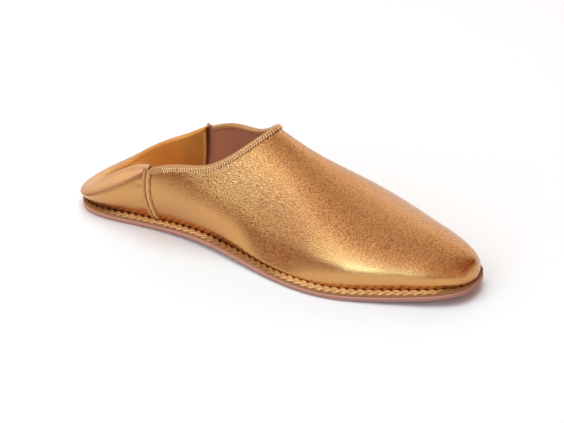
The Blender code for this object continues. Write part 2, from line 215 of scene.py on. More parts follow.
# part of each rib below the collar: from its rows up to the throat, all of it after
def collarShare(way):
    near = np.sqrt(np.clip(1 - way / shoe["throatAt"], 0, 1))
    return np.where(way < shoe["throatAt"], smoothRows(collarRows, near, 1), 1.0)


# ridge and crest of the folded heel: the sole's edge moved in and up by their rows
def heelPoints(way):
    ridgeZ, crestZ, ridgeIn, crestIn = (smoothRows(heelRows, way, k)[..., None] for k in (1, 2, 3, 4))
    edge, inward = rim(shoe["seamShare"] * way, np.zeros_like(way))
    ridge = edge + inward * ridgeIn * shoe["foldDepth"] + up * ridgeZ * shoe["sideHeight"]
    crest = edge + inward * crestIn * shoe["foldDepth"] + up * crestZ * shoe["sideHeight"]
    return ridge, crest, inward


def heelWallPlain(way, rib):   # cubic rib from foot to ridge
    start, inward = foot(shoe["seamShare"] * way)
    ridge, _, _ = heelPoints(way)
    height = (ridge[..., 2] - start[..., 2])[..., None]
    leave = start + (up * shoe["heelStart"] - inward * shoe["heelLean"]) * height
    return bezier(start, leave, ridge - up * shoe["heelEnd"] * height, ridge, rib)


def blend(way):   # 3w^2 - 2w^3
    return (way**2 * (3 - 2 * way))[..., None]


def heelWall(way, rib):   # the plain wall, plus its miss at the seam times the blend
    kept = collarShare(np.zeros_like(way))
    miss = vamp(np.zeros_like(way), rib * kept) - heelWallPlain(np.ones_like(way), rib)
    return heelWallPlain(way, rib) + blend(way) * miss


# past the ridge: a cubic strip up to the crest, a quarter circle, and a cubic flap down to its free end
def heelFold(way, strip, fold, flap):
    radius, pull, end = shoe["foldRadius"], shoe["foldPull"], np.ones_like(way)
    top = heelWall(way, end)
    _, crest, inward = heelPoints(way)
    _, seamCrest, seamInward = heelPoints(end)
    crest = crest + blend(way) * (heelWall(end, end) + (seamInward + up) * radius - seamCrest)
    rise = crest[..., 2:] - top[..., 2:]
    reach = np.linalg.norm((crest - top)[..., :2], axis=-1)[..., None]
    leave, arrive = top + up * pull * rise, crest - inward * pull * reach
    rows = [bezier(top, leave, arrive, crest, np.full_like(way, k)) for k in strip]
    rows += [crest + radius * (inward * np.sin(k) + up * (np.cos(k) - 1)) for k in fold]
    turned = crest + radius * (inward - up)
    restX = smoothRows(flapRows, way, 1) * shoe["length"]
    restY = smoothRows(flapRows, way, 2) * shoe["ballWidth"] / 2
    rest = np.stack([restX, restY, np.full_like(way, flapBase)], -1)
    falling = turned - up * shoe["flapPull"] * (turned - rest)[..., 2:]
    lying = rest + (1 - up) * shoe["flapPull"] * (turned - rest)
    rows += [bezier(turned, falling, lying, rest, np.full_like(way, k)) for k in flap]
    return np.stack(rows, -2)


def pastStart(x, start):   # 0 up to the start, 1 at the toe
    return np.maximum((x / shoe["length"] - start) / (1 - start), 0)


def underside(x):   # toe spring grows with the square past its start; the arch is a squared sine
    along, spring = x / shoe["length"], pastStart(x, shoe["springFrom"])
    arch = np.clip((along - shoe["archFrom"]) / (shoe["archTo"] - shoe["archFrom"]), 0, 1)
    return shoe["toeSpring"] * spring**2 + shoe["archRise"] * np.sin(np.pi * arch)**2


def placed(points, side):   # onto a side, swung at the toe by a power of x, lifted with the sole
    x = points[..., 0]
    swing = pastStart(x, shoe["swingFrom"])**shoe["swingPower"]
    y = side * points[..., 1] - shoe["toeSwing"] * swing
    return np.stack([x - shoe["heelBack"], y, points[..., 2] + underside(x)], -1)


def gridFaces(columns, rows, closed=False):   # quads of a grid stored column by column
    c = np.arange(columns - 1)[:, None]
    r = np.arange(rows if closed else rows - 1)[None]
    nxt = (r + 1) % rows
    quads = np.stack([c * rows + r, (c + 1) * rows + r, (c + 1) * rows + nxt, c * rows + nxt], -1)
    return quads.reshape(-1, 4)


def solidFaces(columns, rows):   # the same for a closed section, with both ends capped
    ends = [list(range(rows)), [columns * rows - 1 - k for k in range(rows)]]
    return gridFaces(columns, rows, closed=True).tolist() + ends


# several sets of points, faces and shades as one
def joined(parts):
    points, faces, shades = zip(*parts)
    firsts = np.cumsum([0] + [len(p) for p in points[:-1]])
    faces = np.concatenate([f + first for f, first in zip(faces, firsts)])
    return np.concatenate(points), faces, np.concatenate(shades)


def addObject(name, data):
    made = bpy.data.objects.new(name, data)
    bpy.context.scene.collection.objects.link(made)
    return made


weld = dict(doubles=2e-6, slivers=1e-7)


# mesh object from arrays: a value per point kept as an attribute, doubles merged, faces turned outward
def makePiece(name, materials, slot, points, faces, shades=None, sharp=None, faceSlots=None):
    mesh = bpy.data.meshes.new(name)
    mesh.from_pydata(points.tolist(), [], [list(f) for f in faces])
    for material in materials:
        mesh.materials.append(material)
    if faceSlots is not None:
        mesh.polygons.foreach_set("material_index", np.array(faceSlots, np.int32))
    if shades is not None:
        values = mesh.attributes.new("shade", "FLOAT", "POINT").data
        values.foreach_set("value", np.asarray(shades, np.float32))
    work = bmesh.new()
    work.from_mesh(mesh)
    bmesh.ops.remove_doubles(work, verts=work.verts, dist=weld["doubles"])
    bmesh.ops.dissolve_degenerate(work, edges=work.edges, dist=weld["slivers"])
    bmesh.ops.recalc_face_normals(work, faces=work.faces)
    work.to_mesh(mesh)
    work.free()
    mesh.shade_smooth()
    if sharp:
        mesh.set_sharp_from_angle(angle=np.radians(sharp))
    made = addObject(name, mesh)
    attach(made, "root")
    return made


# mean of six sine waves, each with its own direction, phase and pace, between -1 and 1
def softWaves(a, b, seed):
    draws = np.random.default_rng(seed)
    total = np.zeros_like(a)
    for k in range(6):
        turn, phase, pace = draws.uniform(0, np.pi), draws.uniform(0, 2 * np.pi), draws.uniform(0.6, 1.6)
        total = total + np.sin((a * np.cos(turn) + b * np.sin(turn)) * pace * 2 * np.pi + phase)
    return total / 6


# ---- shader tools
def feed(tree, socket, value):   # another socket is linked; a number or a colour is set
    if isinstance(value, bpy.types.NodeSocket):
        tree.links.new(value, socket)
    elif isinstance(value, tuple):
        socket.default_value = (*value, 1)[:len(socket.default_value)]
    else:
        socket.default_value = value


def setNode(tree, made, **values):   # a node's own settings, and its inputs by name
    for key, value in values.items():
        if hasattr(made, key):
            setattr(made, key, value)
        else:
            feed(tree, made.inputs[key.replace("_", " ")], value)
    return made


def addNode(tree, kind, **values):
    return setNode(tree, tree.nodes.new(kind), **values)


# group whose inputs are numbers, or a vector where no number is given, and whose outputs are numbers
def newGroup(name, takes, gives):
    tree = bpy.data.node_groups.new(name, "ShaderNodeTree")
    for label, value in takes.items():
        kind = "NodeSocketVector" if value is None else "NodeSocketFloat"
        socket = tree.interface.new_socket(name=label, in_out="INPUT", socket_type=kind)
        if value is not None:
            socket.default_value = value
    for label in gives:
        tree.interface.new_socket(name=label, in_out="OUTPUT", socket_type="NodeSocketFloat")
    return tree, tree.nodes.new("NodeGroupInput").outputs


def newMaterial(name):
    material = bpy.data.materials.new(name)
    material.use_nodes = True
    return material, material.node_tree, material.node_tree.nodes["Principled BSDF"]


def math(tree, operation, a, b):
    made = addNode(tree, "ShaderNodeMath", operation=operation)
    for socket, value in zip(made.inputs, (a, b)):
        feed(tree, socket, value)
    return made.outputs[0]


# linear from one range to another, held at its ends
def remap(tree, value, low, high, toLow=0.0, toHigh=1.0):
    made = addNode(tree, "ShaderNodeMapRange")
    for socket, number in zip(made.inputs, (value, low, high, toLow, toHigh)):
        feed(tree, socket, number)
    return made.outputs[0]


def mixColour(tree, factor, a, b):
    made = addNode(tree, "ShaderNodeMix", data_type="RGBA")
    for k, value in ((0, factor), (6, a), (7, b)):
        feed(tree, made.inputs[k], value)
    return made.outputs[2]


def shadeOf(tree):   # the piece's own value at each point
    return addNode(tree, "ShaderNodeAttribute", attribute_name="shade").outputs["Fac"]


grainSet = dict(turn=(0.0, 0.35, 0.0), stretch=(0.5, 1.0, 1.0), drift=260.0, driftBy=0.0022, small=2.3,
                valleyWide=0.13, fineWide=0.25, uneven=420.0)


# grain of soft leather: cell edges at two sizes, stretched along the shoe and bent by noise
def makeGrainGroup():
    s = grainSet
    tree, given = newGroup("leatherGrain", dict(Position=None, Cells=800.0, Bend=0.35, Fine=0.35),
                           ("Height", "Valley"))
    stretch = addNode(tree, "ShaderNodeMapping", Vector=given["Position"], Rotation=s["turn"],
                      Scale=s["stretch"]).outputs[0]
    drift = addNode(tree, "ShaderNodeTexNoise", Vector=stretch, Scale=s["drift"], Detail=2.0)
    shift = addNode(tree, "ShaderNodeVectorMath", operation="MULTIPLY_ADD")
    for socket, value in zip(shift.inputs, (drift.outputs["Color"], (s["driftBy"],) * 3, stretch)):
        feed(tree, socket, value)
    edges = [addNode(tree, "ShaderNodeTexVoronoi", feature="DISTANCE_TO_EDGE", Vector=shift.outputs[0],
                     Scale=scale).outputs["Distance"]
             for scale in (given["Cells"], math(tree, "MULTIPLY", given["Cells"], s["small"]))]
    valley = remap(tree, edges[0], 0.0, s["valleyWide"])
    fine = math(tree, "MULTIPLY", remap(tree, edges[1], 0.0, s["fineWide"]), given["Fine"])
    uneven = addNode(tree, "ShaderNodeTexNoise", Vector=given["Position"], Scale=s["uneven"], Detail=3.0)
    bent = math(tree, "MULTIPLY", uneven.outputs[0], given["Bend"])
    addNode(tree, "NodeGroupOutput", Height=math(tree, "ADD", math(tree, "ADD", valley, fine), bent),
            Valley=math(tree, "SUBTRACT", 1.0, valley))
    return tree


toneSet = dict(toneFrom=0.3, toneTo=0.7, fleck=24.0, fleckFrom=0.35, fleckTo=0.65)


# broad uneven tone of hide, and flecks much smaller than that: two noises, each spread around a half
def makeToneGroup():
    s = toneSet
    tree, given = newGroup("hideTone", dict(Position=None, Size=30.0), ("Tone", "Fleck"))
    broad = addNode(tree, "ShaderNodeTexNoise", Vector=given["Position"], Scale=given["Size"],
                    Detail=4.0, Roughness=0.6)
    fleck = addNode(tree, "ShaderNodeTexNoise", Vector=given["Position"],
                    Scale=math(tree, "MULTIPLY", given["Size"], s["fleck"]), Detail=2.0, Roughness=0.5)
    addNode(tree, "NodeGroupOutput", Tone=remap(tree, broad.outputs[0], s["toneFrom"], s["toneTo"]),
            Fleck=remap(tree, fleck.outputs[0], s["fleckFrom"], s["fleckTo"]))
    return tree


grainGroup = makeGrainGroup()
toneGroup = makeToneGroup()


# leather with its own tones, grain and gloss; every piece gets one from its own dictionary
def makeLeather(name, look):
    material, tree, shader = newMaterial(name)
    place = addNode(tree, "ShaderNodeTexCoord").outputs["Object"]
    grain = addNode(tree, "ShaderNodeGroup", node_tree=grainGroup, Position=place, Cells=look["cells"],
                    Fine=look.get("fine", 0.35)).outputs
    tone = addNode(tree, "ShaderNodeGroup", node_tree=toneGroup, Position=place,
                   Size=look.get("toneSize", 30.0)).outputs
    mixed = mixColour(tree, tone["Tone"], look["colour"], look["other"])
    valley = math(tree, "MULTIPLY", grain["Valley"], look.get("valley", 0.5))
    height = grain["Height"]
    if look.get("uneven"):   # the piece's own shade says how much grain shows there
        shade = shadeOf(tree)
        height = math(tree, "MULTIPLY", height, shade)
        valley = math(tree, "MULTIPLY", valley, shade)
    bump = addNode(tree, "ShaderNodeBump", Height=height, Strength=look["bump"],
                   Distance=look.get("depth", 0.0003))
    setNode(tree, shader, Base_Color=mixColour(tree, valley, mixed, look["deep"]),
            Roughness=remap(tree, tone["Fleck"], 0.0, 1.0, look["rough"] - 0.04, look["rough"] + 0.05),
            Normal=bump.outputs[0], Metallic=look.get("metal", 0.0), Coat_Weight=look.get("coat", 0.0),
            Coat_Roughness=look.get("coatRough", 0.3), Sheen_Weight=look.get("sheen", 0.0))
    return material


# puts a colour made from the piece's shade and the leather's colour in the leather's place
def recolour(material, makeColour):
    tree = material.node_tree
    base = tree.nodes["Principled BSDF"].inputs["Base Color"]
    tree.links.new(makeColour(tree, shadeOf(tree), base.links[0].from_socket), base)
    return material


# leather, thread or lacing that turns to its dull colour where the piece's shade value says so: painted
# shade on the fold's line, the seam's groove, the binding's stitched face and the braid, a random tone on
# the braid and the stitches
def makeThread(name, look):
    def duller(tree, shade, plain):
        return mixColour(tree, shade, plain, look["dull"])
    return recolour(makeLeather(name, look), duller)


goldLook = dict(
    colour=(0.66, 0.348, 0.124), other=(0.63, 0.318, 0.104), deep=(0.30, 0.10, 0.02), valley=0.65,
    cells=860.0, fine=0.5, bump=0.23, depth=0.0004, rough=0.22, metal=0.93, coat=0.12, coatRough=0.22,
    uneven=True)
liningLook = dict(
    colour=(0.46, 0.155, 0.065), other=(0.40, 0.13, 0.05), deep=(0.30, 0.10, 0.04), valley=0.3,
    cells=1500.0, bump=0.15, rough=0.7, sheen=0.3)
edgeLook = dict(
    colour=(0.62, 0.34, 0.18), other=(0.50, 0.26, 0.13), deep=(0.30, 0.14, 0.07),
    cells=1800.0, bump=0.2, rough=0.6)
# copy of the gold leather for the flap inside the heel, deeper orange and less metallic: painted shade and
# painted orange reflection
shadedFlapLook = dict(
    goldLook, colour=(0.76, 0.34, 0.06), other=(0.62, 0.24, 0.035), deep=(0.40, 0.11, 0.015),
    metal=0.4, rough=0.46, coat=0.0)
# copy of the gold leather for the strip past the heel's ridge, paler and matt: painted light on a face
# turned up; its dull colour is the painted shade of the line beside the ridge
litFoldLook = dict(
    goldLook, colour=(0.77, 0.43, 0.18), other=(0.71, 0.38, 0.15), dull=(0.22, 0.075, 0.018),
    metal=0.5, rough=0.42, coat=0.05, valley=0.1, bump=0.05, uneven=False)
goldLeather = makeLeather("goldLeather", goldLook)
litFoldLeather = makeThread("litFoldLeather", litFoldLook)
shadedFlapLeather = makeLeather("shadedFlapLeather", shadedFlapLook)
liningLeather = makeLeather("liningLeather", liningLook)
edgeLeather = makeLeather("cutEdge", edgeLook)
print("leathers made")


# ---- upper
upperSet = dict(
    throatColumns=70, vampColumns=80, heelColumns=60, wallRows=64, stripRows=24, foldRows=8, flapRows=30,
    throatCrowd=1.8, vampCrowd=1.3, wallCrowd=1.15,
    wave=0.00022, waveAlong=5.0, waveUp=22.0,
    toePleat=0.00020, toePleats=272, pleatRise=(0.90, 0.07), pleatFall=(0.010, -0.010),
    seamPucker=0.00018, puckerBack=0.022, puckerWide=0.009, puckerPitch=0.0075,
    fadeFoot=(0, 0.004), fadeToe=(1, -0.02), fadeTop=(0, 0.006),
    creaseDeep=0.00045, creaseRise=(0.24, 0.3), creaseFall=(1, -0.08), creaseWide=0.0009,
    wallCrease=0.0005, lineWide=0.0011, lineRise=(0.15, 0.3), lineFall=(1, -0.04),
    grainRise=(0.012, 0.022), grainIn=0.12, grainLow=0.10, grainFold=0.15,
    lower=0.6, lowerRise=(0.72, 0.2), toeGrain=0.8, toeRise=(0.93, 0.04),
    sharp=38, wallSlot=0, flapSlot=3, foldSlot=6,
)


# soft troughs and ridges along the outside: long low waves, pleats at the toe's foot, puckers by the seam
def wallRelief(share, height):
    s = upperSet
    waves = s["wave"] * softWaves(share * s["waveAlong"], height * s["waveUp"], 3)
    toe = climb(share, *s["pleatRise"]) * climb(height, *s["pleatFall"])
    pleats = s["toePleat"] * toe * np.sin(share * 2 * np.pi * s["toePleats"])
    bySeam = mound(share - shoe["seamShare"] + s["puckerBack"], s["puckerWide"])
    return waves + pleats + s["seamPucker"] * bySeam * np.sin(height * 2 * np.pi / s["puckerPitch"])


# grid of the wall's outside, first heel and then vamp, and its share of the edge's run
def wallSheet(heel):
    s, throat, seam = upperSet, shoe["throatAt"], shoe["seamShare"]
    early = throat * crowded(s["throatColumns"], s["throatCrowd"])[1:]
    late = throat + (1 - throat) * crowded(s["vampColumns"], s["vampCrowd"])[1:]
    ribs = crowded(s["wallRows"], s["wallCrowd"])
    back, backRib = np.meshgrid(heel, ribs, indexing="ij")
    front, rib = np.meshgrid(np.r_[early, late], ribs, indexing="ij")
    wall = np.concatenate([heelWall(back, backRib), vamp(front, rib * collarShare(front))])
    return wall, np.concatenate([back * seam, seam + (1 - seam) * front])


# unit normal of a sheet, level at the columns where both halves meet, so that these move alike
def facing(sheet, meeting):
    normal = np.cross(np.gradient(sheet, axis=1), np.gradient(sheet, axis=0))
    normal[meeting, :, 1] = 0
    return unit(normal)


# how much grain shows on the wall: rising with height in front of the seam, and all round the toe
def wallGrain(share, height):
    s = upperSet
    lower = 1 - s["lower"] * climb(share, *s["lowerRise"])
    rise = climb(height / lower, *s["grainRise"])
    ahead = climb(share, shoe["seamShare"], s["grainIn"])
    shown = s["grainLow"] + (1 - s["grainLow"]) * ahead * rise * rise * (3 - 2 * rise)
    return np.maximum(shown, s["toeGrain"] * climb(share, *s["toeRise"]))


def makeUpper():
    s = upperSet
    heel = steps(s["heelColumns"])
    n = len(heel)
    wall, share = wallSheet(heel)
    ridge = wall[:n, -1:]
    outward = facing(wall, [0, -1])
    height = np.cumsum(np.linalg.norm(np.gradient(wall, axis=1), axis=-1), axis=1)
    below = height[:, -1:] - height
    fade = climb(height, *s["fadeFoot"]) * climb(share, *s["fadeToe"]) * climb(below, *s["fadeTop"])
    wall = wall + outward * (wallRelief(share, height) * fade)[..., None]
    base = wall[:, :1].copy()
    base[..., 2] = footBase
    wall = np.concatenate([base, wall], 1)
    strip, fold, flap = (steps(s[rows])[1:] for rows in ("stripRows", "foldRows", "flapRows"))
    folded = np.concatenate([ridge, heelFold(heel, strip, fold * np.pi / 2, flap)], 1)
    away = np.cumsum(np.linalg.norm(np.diff(folded, axis=1), axis=-1), axis=1)
    away = np.concatenate([np.zeros((n, 1)), away], 1)
    # soft trough along the ridge, fading out before the heel's back and at the seam
    ends = climb(heel, *s["creaseFall"]) * climb(heel, *s["creaseRise"])**2
    dent = s["creaseDeep"] * ends[:, None]
    folded = folded - facing(folded, [0]) * (dent * mound(away, s["creaseWide"]))[..., None]
    wall[:n, 1:] -= outward[:n] * (dent * mound(below[:n], s["wallCrease"]))[..., None]
    folded[:, 0] = wall[:n, -1]
    grain = wallGrain(share, height)
    grain = np.concatenate([grain[:, :1], grain], 1)
    # painted shade: a dark line beside the ridge on the strip, and even grain further in
    ends = climb(heel, *s["lineRise"]) * climb(heel, *s["lineFall"])
    dark = mound(away, s["lineWide"]) * ends[:, None]
    dark = np.where(np.arange(dark.shape[1]) > s["stripRows"] + 1, s["grainFold"], dark)
    parts, slots = [], []
    for side in (-1, 1):
        for sheet, shade in ((wall, grain), (folded, dark)):
            quads = gridFaces(*sheet.shape[:2])
            inside = quads[:, 0] % sheet.shape[1] > s["stripRows"] + 1
            slots.append(np.where(inside, s["flapSlot"], s["foldSlot"]) if sheet is folded
                         else np.full(len(quads), s["wallSlot"]))
            quads = quads if side == 1 else quads[:, ::-1]
            parts.append((placed(sheet, side).reshape(-1, 3), quads, shade.reshape(-1)))
    # the flap's faces take the shaded copy of the gold leather (painted shade), the strip's faces the lit
    # copy (painted light)
    materials = [leather for outer in (goldLeather, shadedFlapLeather, litFoldLeather)
                 for leather in (outer, liningLeather, edgeLeather)]
    upper = makePiece("upperLeather", materials, "upper_leather", *joined(parts), s["sharp"],
                      np.concatenate(slots))
    thick = upper.modifiers.new("leather", "SOLIDIFY")
    thick.thickness = shoe["wall"]
    thick.offset = -1
    thick.material_offset = 1
    thick.material_offset_rim = 2
    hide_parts("upper")
    print("upper:", len(upper.data.polygons), "faces")


makeUpper()


# ---- parts of the sole
# closed loop inside the sole's edge by inset and a number of ledges, raised; steps crowd at the ends
def loopAround(inset, height, ledges, count=170):
    even = steps(count)
    share = even - 0.4 * np.sin(2 * np.pi * even) / (2 * np.pi)
    points, _ = rim(share, inset + ledges * ledge(share))
    points = points + up * height
    return np.concatenate([placed(points[::-1], -1), placed(points[1:-1], 1)])


def capAcross(count, first):   # quads across a closed loop, joining its right side to its left side
    n = count // 2
    right = first + np.arange(n, -1, -1)
    left = first + np.r_[np.arange(n, 2 * n), 0]
    return [list(dict.fromkeys(f)) for f in zip(right[:-1], right[1:], left[1:], left[:-1])]


# solid through loops from bottom to top, closed across both ends; a ring is inset, height and shade
def makeSlab(name, rings, ledges, material, slot):
    loops = [loopAround(inset, height, ledges) for inset, height, _ in rings]
    count = len(loops[0])
    faces = gridFaces(len(loops), count, closed=True).tolist()
    faces += capAcross(count, 0) + capAcross(count, (len(loops) - 1) * count)
    shades = np.repeat([shade for _, _, shade in rings], count)
    return makePiece(name, [material], slot, np.concatenate(loops), faces, shades)


outsoleSet = dict(roundTop=0.0007, roundBottom=0.0005, lip=0.00012, lipAt=0.62, lipWide=0.12,
                  edgeFrom=0.3, edgeTo=0.75, faceInset=0.0032, trim=0.00028)
insoleSet = dict(round=0.0005, top=(0.002, 0.0035))
soleLook = dict(
    colour=(0.46, 0.215, 0.14), other=(0.36, 0.16, 0.105), deep=(0.36, 0.16, 0.10), valley=0.25,
    cells=1300.0, bump=0.16, rough=0.52, toneSize=45.0, edgeShare=0.6)
insoleLook = dict(
    colour=(0.42, 0.20, 0.115), other=(0.36, 0.165, 0.09), deep=(0.30, 0.13, 0.075), valley=0.3,
    cells=1500.0, bump=0.12, rough=0.62, toneSize=22.0)
# shade up the sole's edge: dark at the floor, mauve brown face, pale lip at the top
edgeStops = [
    (0.0, (0.16, 0.07, 0.045)), (0.25, (0.34, 0.15, 0.105)), (0.62, (0.42, 0.19, 0.135)),
    (0.80, (0.66, 0.34, 0.225)), (1.0, (0.60, 0.30, 0.19)),
]


def edgeColour(tree, shade, plain):   # the stops' colour, partly mixed back to the leather's own
    stops = addNode(tree, "ShaderNodeValToRGB")
    elements = stops.color_ramp.elements
    while len(elements) < len(edgeStops):
        elements.new(0.5)
    for element, (at, colour) in zip(elements, edgeStops):
        element.position = at
        element.color = (*colour, 1)
    tree.links.new(shade, stops.inputs[0])
    return mixColour(tree, 1 - soleLook["edgeShare"], stops.outputs[0], plain)


def makeSole():
    s, thick = outsoleSet, shoe["soleThick"]
    low, high = s["roundBottom"], s["roundTop"]
    quarter = steps(4) * np.pi / 2
    rings = [(s["faceInset"], 0.0, 0.1), (low * 2, 0.0, 0.05)]
    rings += [(low * (1 - np.sin(k)), low * (1 - np.cos(k)), 0.05 + 0.1 * k) for k in quarter]
    # the edge's face, with a slight lip where the knife changed angle
    rings += [(-s["lip"] * mound(k - s["lipAt"], s["lipWide"]), thick * k, k)
              for k in np.linspace(s["edgeFrom"], s["edgeTo"], 5)]
    rings += [(high * (1 - np.cos(k)), thick - high * (1 - np.sin(k)), 0.78 + 0.1 * k) for k in quarter]
    rings += [(high * 2, thick, 0.95), (s["faceInset"], thick, 0.95)]
    rings = [(inset + s["trim"], height, shade) for inset, height, shade in rings]
    leather = recolour(makeLeather("soleLeather", soleLook), edgeColour)
    sole = makeSlab("outsoleLeather", rings, 0.0, leather, "sole_leather")
    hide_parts("outsole")
    inset = shoe["wall"] + 2 * shoe["gap"]
    r, top = insoleSet["round"], footBase + shoe["insoleThick"]
    rings = [(inset, footBase, 0.0)]
    rings += [(inset + r * (1 - np.cos(k)), top - r * (1 - np.sin(k)), 0.5) for k in quarter]
    rings += [(inset + further, top, 1.0) for further in insoleSet["top"]]
    sock = makeSlab("insoleSock", rings, 1.0, makeLeather("insoleLeather", insoleLook), "insole_leather")
    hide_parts("insole")
    print("sole and insole made")


makeSole()


# ---- thread pieces
# many short threads: at each point of a centre line an ellipse, width across and height up, that
# closes at both ends, its size the root of 1 - (2t - 1)^4, with a twist's low ridges
def threadTubes(centres, across, upward, wide, high, ring=7, closeEnds=True, twist=0.0, turns=0.0):
    count, along = centres.shape[:2]
    t = np.linspace(0, 1, along)[None, :, None]
    size = np.clip(1 - np.abs(2 * t - 1)**4, 0, 1)**0.5 if closeEnds else np.ones_like(t)
    angle = np.linspace(0, 2 * np.pi, ring, endpoint=False)[None, None, :]
    size = size * (1 + twist * np.cos(2 * angle + 2 * np.pi * turns * t))
    wide, high = (np.broadcast_to(value, (count, along))[..., None, None] for value in (wide, high))
    a = (size * np.cos(angle))[..., None] * across[:, :, None] * wide
    b = (size * np.sin(angle))[..., None] * upward[:, :, None] * high
    points = centres[:, :, None] + a + b
    one = gridFaces(along, ring, closed=True)
    faces = (one[None] + (np.arange(count) * along * ring)[:, None, None]).reshape(-1, 4)
    return points.reshape(-1, 3), faces


# threads along lines that lie on a surface, with one shade for each thread
def laidThreads(lines, outward, s, shades, ring=6, twist=0.0, turns=0.0):
    outward = np.broadcast_to(outward, lines.shape)
    across = np.cross(unit(np.gradient(lines, axis=1)), outward)
    points, faces = threadTubes(lines, across, outward, s["threadWide"], s["threadHigh"], ring, True,
                                twist, turns)
    return points, faces, np.repeat(shades, lines.shape[1] * ring)


braidLook = dict(
    colour=(0.90, 0.55, 0.24), other=(0.80, 0.44, 0.16), deep=(0.36, 0.15, 0.04),
    dull=(0.34, 0.135, 0.035), valley=0.25, cells=1500.0, bump=0.25, rough=0.42, metal=0.35,
    toneSize=120.0)
stripLook = dict(
    colour=(0.42, 0.17, 0.045), other=(0.34, 0.13, 0.035), deep=(0.20, 0.07, 0.02), valley=0.4,
    cells=1400.0, bump=0.3, rough=0.6, metal=0.1)
braidSet = dict(
    periods=41, perPeriod=26, strands=3, sway=0.30, lift=0.00042, wide=0.00088, high=0.00058,
    height=0.00132, middle=0.57, ring=9, smallest=0.2, unevenPace=190.0, unevenWide=0.22,
    twist=0.05, turns=300.0, stripHeight=0.0010, stripBevel=0.0003, groove=0.0002, underShade=0.9,
    underFrom=0.35, dullFrom=0.078, dullTo=0.132, dullSoft=0.003, waistDull=0.85, heelDull=0.008,
    heelSoft=0.004, toeDull=0.222, toeSoft=0.0015, dullSink=0.00035, dullThin=0.18, unevenDull=0.25,
    loopSteps=300, sharp=40,
)


# strip over the ledge, and on it three flat strands plaited round: across = sway sin t,
# height = lift sin 2t, a third of a turn apart
def makeWelt():
    s = braidSet
    top, bevel, edge = footBase + s["stripHeight"], s["stripBevel"], shoe["weltSetback"]
    # inset, height, and how many ledges further in
    corners = [(edge, footBase, 0.0), (edge, top - bevel, 0.0), (edge + bevel, top, 0.0),
               (0.0, top, 0.55), (0.0, top - 0.0001, 0.8), (-shoe["gap"], top - s["groove"], 1.0),
               (-shoe["gap"], footBase, 1.0)]
    points = np.stack([loopAround(*corner, s["loopSteps"]) for corner in corners], 1)
    points = np.concatenate([points, points[:1]])
    strip = makePiece("weltStrip", [makeLeather("weltStripLeather", stripLook)], "welt_leather",
                      points.reshape(-1, 3), gridFaces(*points.shape[:2], closed=True), None, s["sharp"])
    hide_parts("welt")
    around = steps(s["periods"] * s["perPeriod"])
    share = 1 - np.abs(1 - 2 * around)   # heel back, along the left side to the toe, back by the right
    left = (around < 0.5)[:, None]
    width = ledge(share)
    small = np.clip(width / shoe["ledge"], s["smallest"], 1)
    centres, acrosses, ups, shades, wides = [], [], [], [], []
    for strand in range(s["strands"]):
        t = 2 * np.pi * (around * s["periods"] + strand / s["strands"])
        flat, _ = rim(share, width * (s["middle"] + s["sway"] * np.sin(t)))
        flat = flat + up * (footBase + s["height"] + s["lift"] * np.sin(2 * t))[..., None]
        path = np.where(left, placed(flat, 1), placed(flat, -1))
        run = unit(np.gradient(path, axis=0))
        across = unit(np.cross(up, run))
        x = path[:, 0]
        # the braid is subdued along the waist and at the heel and toe ends: strands thinner and sunk, and
        # darkened with painted shade
        waist = settle(x - s["dullFrom"], s["dullSoft"]) * settle(s["dullTo"] - x, s["dullSoft"])
        ends = settle(s["heelDull"] - x, s["heelSoft"]) + settle(x - s["toeDull"], s["toeSoft"])
        dull = np.clip(s["waistDull"] * waist + ends, 0, 1)
        uneven = softWaves(around * s["unevenPace"], around * 0 + strand, 11 + strand)
        wides.append(s["wide"] * small * (1 + s["unevenWide"] * uneven) * (1 - s["dullThin"] * dull))
        centres.append(path - up * (s["dullSink"] * dull)[:, None])
        acrosses.append(across)
        ups.append(np.cross(run, across))
        # painted shade where a strand passes under the next, plus a random tone that follows the uneven
        # widths
        under = np.clip(-np.sin(2 * t) - s["underFrom"], 0, 1)
        shade = dull + s["unevenDull"] * np.clip(-uneven, 0, 1) + s["underShade"] * under
        shades.append(np.clip(shade, 0, 1))
    centres, acrosses, ups, wides = (np.array(v) for v in (centres, acrosses, ups, wides))
    tubes = threadTubes(centres, acrosses, ups, wides, wides * s["high"] / s["wide"], s["ring"], False,
                        s["twist"], s["turns"])
    braid = makePiece("weltBraid", [makeThread("braidLacing", braidLook)], "welt_leather", *tubes,
                      np.repeat(np.array(shades).reshape(-1), s["ring"]))
    print("welt:", len(braid.data.polygons), "faces in the braid")


makeWelt()


# ---- collar binding
bindingSet = dict(
    outside=0.0028, inside=0.0016, thick=0.0006, clear=0.0003, start=0.0027, columns=149, crowd=1.7,
    dome=0.00018, hem=0.0003, hemIn=0.0005, sharp=50, gapShade=0.9, topShade=0.3, shadePower=0.2,
    pitch=0.00150, jitter=0.1, lean=0.6, arch=0.00010, ragged=0.00008, twist=0.12, turns=1.5,
    threadWide=0.00037, threadHigh=0.00036, sunk=0.2, threadSteps=6, smoothRun=0.0095,
    rowTop=0.0001, rowMiddle=0.0014, rowLow=0.0028, pointShare=0.62, pointMin=0.0003, pointMax=0.0013,
    pointFrom=0.0003, pointLean=0.3, dropOver=0.0004, onLeather=0.00012,
)
bandLook = dict(
    colour=(0.62, 0.33, 0.13), other=(0.54, 0.27, 0.10), deep=(0.30, 0.12, 0.04),
    dull=(0.38, 0.16, 0.05), valley=0.4, cells=1300.0, bump=0.22, rough=0.42, metal=0.45, toneSize=60.0)
stitchLook = dict(
    colour=(1.0, 0.74, 0.38), other=(0.98, 0.66, 0.29), deep=(0.60, 0.32, 0.11),
    dull=(0.66, 0.36, 0.12), valley=0.15, cells=2600.0, bump=0.15, rough=0.45, metal=0.1,
    toneSize=260.0)
stitchThread = makeThread("goldStitch", stitchLook)


